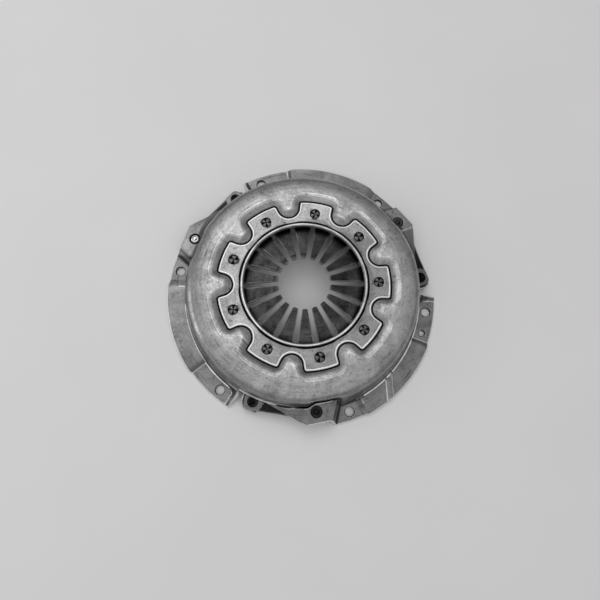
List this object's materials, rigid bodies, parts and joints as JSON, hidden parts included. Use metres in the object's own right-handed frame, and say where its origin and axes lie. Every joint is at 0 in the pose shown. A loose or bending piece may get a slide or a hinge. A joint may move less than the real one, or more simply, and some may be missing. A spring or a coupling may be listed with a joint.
{
  "type": "clutch pressure plate",
  "caption": "Diaphragm-spring clutch pressure plate: pressed steel cover, lobed retainer, coned spring fingers, cast plate hung on drive straps.",
  "frame": {"origin": "clutch axis, in the plane of the cover pads that seat on the flywheel", "axes": "+Z away from the flywheel, towards the release bearing; +X through a cover bolt hole"},
  "size_m": [0.273, 0.2644, 0.041],
  "materials": {
    "cover_steel": "satin",
    "retainer_steel": "satin",
    "rivet_steel": "satin",
    "spring_steel": "satin",
    "ring_steel": "satin",
    "strap_steel": "satin",
    "cast_iron": "matte"
  },
  "bodies": {
    "cover_assembly": {"cover": "cover_steel", "retainer_plate": "retainer_steel", "upper_fulcrum_ring": "ring_steel", "lower_fulcrum_ring": "ring_steel", "pivot_rivets": "rivet_steel", "cover_strap_rivets": "rivet_steel", "drive_strap_1_top": "strap_steel", "drive_strap_1_middle": "strap_steel", "drive_strap_1_bottom": "strap_steel", "drive_strap_2_top": "strap_steel", "drive_strap_2_middle": "strap_steel", "drive_strap_2_bottom": "strap_steel", "drive_strap_3_top": "strap_steel", "drive_strap_3_middle": "strap_steel", "drive_strap_3_bottom": "strap_steel"},
    "pressure_plate": {"pressure_plate": "cast_iron", "lug_strap_rivets": "rivet_steel"},
    "finger_01": {"diaphragm_finger_01": "spring_steel"},
    "finger_02": {"diaphragm_finger_02": "spring_steel"},
    "finger_03": {"diaphragm_finger_03": "spring_steel"},
    "finger_04": {"diaphragm_finger_04": "spring_steel"},
    "finger_05": {"diaphragm_finger_05": "spring_steel"},
    "finger_06": {"diaphragm_finger_06": "spring_steel"},
    "finger_07": {"diaphragm_finger_07": "spring_steel"},
    "finger_08": {"diaphragm_finger_08": "spring_steel"},
    "finger_09": {"diaphragm_finger_09": "spring_steel"},
    "finger_10": {"diaphragm_finger_10": "spring_steel"},
    "finger_11": {"diaphragm_finger_11": "spring_steel"},
    "finger_12": {"diaphragm_finger_12": "spring_steel"},
    "finger_13": {"diaphragm_finger_13": "spring_steel"},
    "finger_14": {"diaphragm_finger_14": "spring_steel"},
    "finger_15": {"diaphragm_finger_15": "spring_steel"},
    "finger_16": {"diaphragm_finger_16": "spring_steel"},
    "finger_17": {"diaphragm_finger_17": "spring_steel"},
    "finger_18": {"diaphragm_finger_18": "spring_steel"}
  },
  "joints": [
    {"name": "plate_lift", "type": "slide", "parent": "cover_assembly", "child": "pressure_plate", "axis": [0, 0, 1], "range_m": [0, 0.0032], "stiffness_N_per_m": 20000, "springref_m": -0.001, "deforming": ["drive_strap_1_top", "drive_strap_1_middle", "drive_strap_1_bottom", "drive_strap_2_top", "drive_strap_2_middle", "drive_strap_2_bottom", "drive_strap_3_top", "drive_strap_3_middle", "drive_strap_3_bottom"]},
    {"name": "finger_01_rock", "type": "hinge", "parent": "cover_assembly", "child": "finger_01", "pos_m": [0.07684, 0.00101, 0.02677], "axis": [0.0131, -0.9999, 0], "range_deg": [0, 12]},
    {"name": "finger_02_rock", "type": "hinge", "parent": "cover_assembly", "child": "finger_02", "pos_m": [0.07186, 0.02723, 0.02677], "axis": [0.3543, -0.9351, 0], "range_deg": [0, 12]},
    {"name": "finger_03_rock", "type": "hinge", "parent": "cover_assembly", "child": "finger_03", "pos_m": [0.05822, 0.05017, 0.02677], "axis": [0.6528, -0.7576, 0], "range_deg": [0, 12]},
    {"name": "finger_04_rock", "type": "hinge", "parent": "cover_assembly", "child": "finger_04", "pos_m": [0.03755, 0.06705, 0.02677], "axis": [0.8725, -0.4886, 0], "range_deg": [0, 12]},
    {"name": "finger_05_rock", "type": "hinge", "parent": "cover_assembly", "child": "finger_05", "pos_m": [0.01235, 0.07585, 0.02677], "axis": [0.987, -0.1607, 0], "range_deg": [0, 12]},
    {"name": "finger_06_rock", "type": "hinge", "parent": "cover_assembly", "child": "finger_06", "pos_m": [-0.01433, 0.0755, 0.02677], "axis": [0.9825, 0.1865, 0], "range_deg": [0, 12]},
    {"name": "finger_07_rock", "type": "hinge", "parent": "cover_assembly", "child": "finger_07", "pos_m": [-0.03929, 0.06605, 0.02677], "axis": [0.8594, 0.5113, 0], "range_deg": [0, 12]},
    {"name": "finger_08_rock", "type": "hinge", "parent": "cover_assembly", "child": "finger_08", "pos_m": [-0.05951, 0.04862, 0.02677], "axis": [0.6327, 0.7744, 0], "range_deg": [0, 12]},
    {"name": "finger_09_rock", "type": "hinge", "parent": "cover_assembly", "child": "finger_09", "pos_m": [-0.07255, 0.02534, 0.02677], "axis": [0.3297, 0.9441, 0], "range_deg": [0, 12]},
    {"name": "finger_10_rock", "type": "hinge", "parent": "cover_assembly", "child": "finger_10", "pos_m": [-0.07684, -0.00101, 0.02677], "axis": [-0.0131, 0.9999, 0], "range_deg": [0, 12]},
    {"name": "finger_11_rock", "type": "hinge", "parent": "cover_assembly", "child": "finger_11", "pos_m": [-0.07186, -0.02723, 0.02677], "axis": [-0.3543, 0.9351, 0], "range_deg": [0, 12]},
    {"name": "finger_12_rock", "type": "hinge", "parent": "cover_assembly", "child": "finger_12", "pos_m": [-0.05822, -0.05017, 0.02677], "axis": [-0.6528, 0.7576, 0], "range_deg": [0, 12]},
    {"name": "finger_13_rock", "type": "hinge", "parent": "cover_assembly", "child": "finger_13", "pos_m": [-0.03755, -0.06705, 0.02677], "axis": [-0.8725, 0.4886, 0], "range_deg": [0, 12]},
    {"name": "finger_14_rock", "type": "hinge", "parent": "cover_assembly", "child": "finger_14", "pos_m": [-0.01235, -0.07585, 0.02677], "axis": [-0.987, 0.1607, 0], "range_deg": [0, 12]},
    {"name": "finger_15_rock", "type": "hinge", "parent": "cover_assembly", "child": "finger_15", "pos_m": [0.01433, -0.0755, 0.02677], "axis": [-0.9825, -0.1865, 0], "range_deg": [0, 12]},
    {"name": "finger_16_rock", "type": "hinge", "parent": "cover_assembly", "child": "finger_16", "pos_m": [0.03929, -0.06605, 0.02677], "axis": [-0.8594, -0.5113, 0], "range_deg": [0, 12]},
    {"name": "finger_17_rock", "type": "hinge", "parent": "cover_assembly", "child": "finger_17", "pos_m": [0.05951, -0.04862, 0.02677], "axis": [-0.6327, -0.7744, 0], "range_deg": [0, 12]},
    {"name": "finger_18_rock", "type": "hinge", "parent": "cover_assembly", "child": "finger_18", "pos_m": [0.07255, -0.02534, 0.02677], "axis": [-0.3297, -0.9441, 0], "range_deg": [0, 12]}
  ],
  "couplings": [
    {"joint": "finger_01_rock", "follows": "plate_lift", "rad_per_m": 64.516},
    {"joint": "finger_02_rock", "follows": "plate_lift", "rad_per_m": 64.516},
    {"joint": "finger_03_rock", "follows": "plate_lift", "rad_per_m": 64.516},
    {"joint": "finger_04_rock", "follows": "plate_lift", "rad_per_m": 64.516},
    {"joint": "finger_05_rock", "follows": "plate_lift", "rad_per_m": 64.516},
    {"joint": "finger_06_rock", "follows": "plate_lift", "rad_per_m": 64.516},
    {"joint": "finger_07_rock", "follows": "plate_lift", "rad_per_m": 64.516},
    {"joint": "finger_08_rock", "follows": "plate_lift", "rad_per_m": 64.516},
    {"joint": "finger_09_rock", "follows": "plate_lift", "rad_per_m": 64.516},
    {"joint": "finger_10_rock", "follows": "plate_lift", "rad_per_m": 64.516},
    {"joint": "finger_11_rock", "follows": "plate_lift", "rad_per_m": 64.516},
    {"joint": "finger_12_rock", "follows": "plate_lift", "rad_per_m": 64.516},
    {"joint": "finger_13_rock", "follows": "plate_lift", "rad_per_m": 64.516},
    {"joint": "finger_14_rock", "follows": "plate_lift", "rad_per_m": 64.516},
    {"joint": "finger_15_rock", "follows": "plate_lift", "rad_per_m": 64.516},
    {"joint": "finger_16_rock", "follows": "plate_lift", "rad_per_m": 64.516},
    {"joint": "finger_17_rock", "follows": "plate_lift", "rad_per_m": 64.516},
    {"joint": "finger_18_rock", "follows": "plate_lift", "rad_per_m": 64.516}
  ]
}
